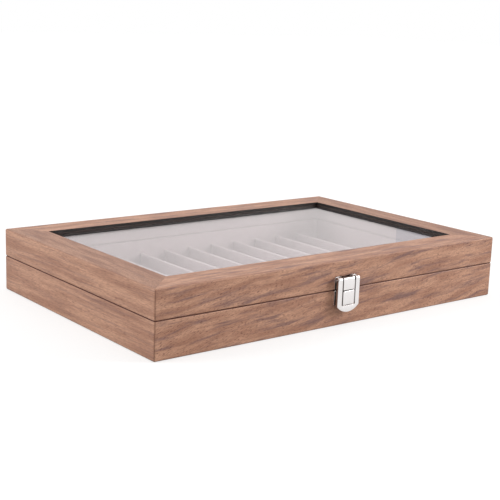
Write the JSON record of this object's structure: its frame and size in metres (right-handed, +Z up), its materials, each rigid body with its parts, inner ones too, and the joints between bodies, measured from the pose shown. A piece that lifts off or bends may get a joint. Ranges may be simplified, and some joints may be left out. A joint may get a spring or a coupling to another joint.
{
  "type": "pen collector chest",
  "caption": "Flat walnut-veneered pen display case with a hinged glass-window lid, velvet-lined slots between dividers and a nickel box latch.",
  "frame": {"origin": "centre of the base's underside, on the surface that the case stands on", "axes": "+Z up, +X along the front to the right, +Y from the front to the back, where the hinges are"},
  "size_m": [0.337, 0.2302, 0.05],
  "materials": {
    "walnut": "matt lacquered walnut veneer",
    "bottom_panel": "plain fibreboard panel",
    "felt": "black felt",
    "velvet": "pale grey velvet",
    "black_bead": "black painted wood, satin",
    "window_glass": "clear float glass",
    "nickel": "bright nickel plate"
  },
  "bodies": {
    "base": {"base_front_wall": "walnut", "base_back_wall": "walnut", "base_left_wall": "walnut", "base_right_wall": "walnut", "base_bottom_panel": "bottom_panel", "underside_felt": "felt", "base_lining_front": "velvet", "base_lining_back": "velvet", "base_lining_left": "velvet", "base_lining_right": "velvet", "slot_floor_pad": "velvet", "divider_01": "velvet", "divider_02": "velvet", "divider_03": "velvet", "divider_04": "velvet", "divider_05": "velvet", "divider_06": "velvet", "divider_07": "velvet", "divider_08": "velvet", "divider_09": "velvet", "divider_10": "velvet", "divider_11": "velvet", "hinge_left_base_leaf": "nickel", "hinge_right_base_leaf": "nickel", "hinge_left_pin": "nickel", "hinge_right_pin": "nickel", "hinge_base_screws": "nickel", "latch_base_plate": "nickel", "latch_base_screws": "nickel"},
    "lid": {"lid_front_rail": "walnut", "lid_back_rail": "walnut", "lid_left_rail": "walnut", "lid_right_rail": "walnut", "window_glass": "window_glass", "glass_bead_front": "black_bead", "glass_bead_back": "black_bead", "glass_bead_left": "black_bead", "glass_bead_right": "black_bead", "lid_lining_front": "velvet", "lid_lining_back": "velvet", "lid_lining_left": "velvet", "lid_lining_right": "velvet", "hinge_left_lid_leaf": "nickel", "hinge_right_lid_leaf": "nickel", "hinge_lid_screws": "nickel", "latch_lid_plate": "nickel", "latch_pin": "nickel", "latch_lid_screws": "nickel"},
    "latch_flap": {"latch_flap": "nickel"}
  },
  "joints": [
    {"name": "lid_hinge", "type": "hinge", "parent": "base", "child": "lid", "pos_m": [0, 0.11245, 0.028], "axis": [-1, 0, 0], "range_deg": [0, 100]},
    {"name": "latch_flap_hinge", "type": "hinge", "parent": "lid", "child": "latch_flap", "pos_m": [0, -0.1136, 0.0363], "axis": [-1, 0, 0], "range_deg": [0, 170]}
  ]
}
